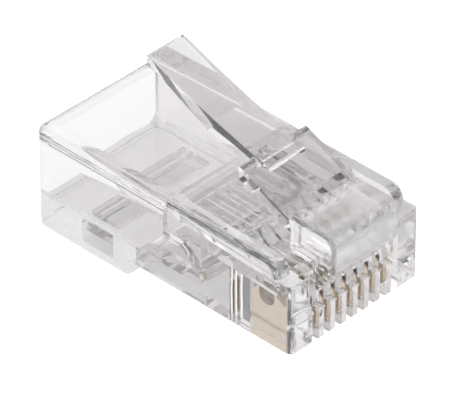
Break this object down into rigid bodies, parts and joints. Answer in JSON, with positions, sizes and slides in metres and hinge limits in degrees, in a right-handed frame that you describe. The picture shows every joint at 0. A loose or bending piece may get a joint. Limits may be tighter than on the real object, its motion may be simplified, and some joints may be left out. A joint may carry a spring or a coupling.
{
  "type": "modular plug",
  "caption": "Clear uncrimped modular plug for data cable, with a row of contact blades, a sprung latch lever and strain-relief clamp bars.",
  "frame": {"origin": "middle of the overall box at its underside, which is the underside of the rear foot", "axes": "+X across the plug, +Y towards the cable end, +Z towards the latch; the nose with its contacts faces -Y"},
  "size_m": [0.0116, 0.0234, 0.0139],
  "materials": {
    "clear_plastic": "clear moulded",
    "gold_plate": "gold plated"
  },
  "bodies": {
    "housing": {"housing": "clear_plastic"},
    "latch": {"latch_tab": "clear_plastic"},
    "wire_clamp": {"wire_clamp_bar": "clear_plastic"},
    "jacket_clamp": {"jacket_clamp_bar": "clear_plastic"},
    "contact_1": {"contact_1": "gold_plate"},
    "contact_2": {"contact_2": "gold_plate"},
    "contact_3": {"contact_3": "gold_plate"},
    "contact_4": {"contact_4": "gold_plate"},
    "contact_5": {"contact_5": "gold_plate"},
    "contact_6": {"contact_6": "gold_plate"},
    "contact_7": {"contact_7": "gold_plate"},
    "contact_8": {"contact_8": "gold_plate"}
  },
  "joints": [
    {"name": "latch_hinge", "type": "hinge", "parent": "housing", "child": "latch", "pos_m": [0, -0.00756, 0.00855], "axis": [-1, 0, 0], "range_deg": [0, 18], "stiffness_Nm_per_rad": 0.16},
    {"name": "wire_clamp_hinge", "type": "hinge", "parent": "housing", "child": "wire_clamp", "pos_m": [0, 0.00265, 0.00162], "axis": [-1, 0, 0], "range_deg": [0, 5]},
    {"name": "jacket_clamp_slide", "type": "slide", "parent": "housing", "child": "jacket_clamp", "axis": [0, 0, 1], "range_m": [0, 0.0015]},
    {"name": "contact_1_crimp", "type": "slide", "parent": "housing", "child": "contact_1", "axis": [0, 0, 1], "range_m": [0, 0.0005]},
    {"name": "contact_2_crimp", "type": "slide", "parent": "housing", "child": "contact_2", "axis": [0, 0, 1], "range_m": [0, 0.0005]},
    {"name": "contact_3_crimp", "type": "slide", "parent": "housing", "child": "contact_3", "axis": [0, 0, 1], "range_m": [0, 0.0005]},
    {"name": "contact_4_crimp", "type": "slide", "parent": "housing", "child": "contact_4", "axis": [0, 0, 1], "range_m": [0, 0.0005]},
    {"name": "contact_5_crimp", "type": "slide", "parent": "housing", "child": "contact_5", "axis": [0, 0, 1], "range_m": [0, 0.0005]},
    {"name": "contact_6_crimp", "type": "slide", "parent": "housing", "child": "contact_6", "axis": [0, 0, 1], "range_m": [0, 0.0005]},
    {"name": "contact_7_crimp", "type": "slide", "parent": "housing", "child": "contact_7", "axis": [0, 0, 1], "range_m": [0, 0.0005]},
    {"name": "contact_8_crimp", "type": "slide", "parent": "housing", "child": "contact_8", "axis": [0, 0, 1], "range_m": [0, 0.0005]}
  ],
  "couplings": [
    {"joint": "contact_2_crimp", "follows": "contact_1_crimp", "ratio": 1},
    {"joint": "contact_3_crimp", "follows": "contact_1_crimp", "ratio": 1},
    {"joint": "contact_4_crimp", "follows": "contact_1_crimp", "ratio": 1},
    {"joint": "contact_5_crimp", "follows": "contact_1_crimp", "ratio": 1},
    {"joint": "contact_6_crimp", "follows": "contact_1_crimp", "ratio": 1},
    {"joint": "contact_7_crimp", "follows": "contact_1_crimp", "ratio": 1},
    {"joint": "contact_8_crimp", "follows": "contact_1_crimp", "ratio": 1}
  ]
}
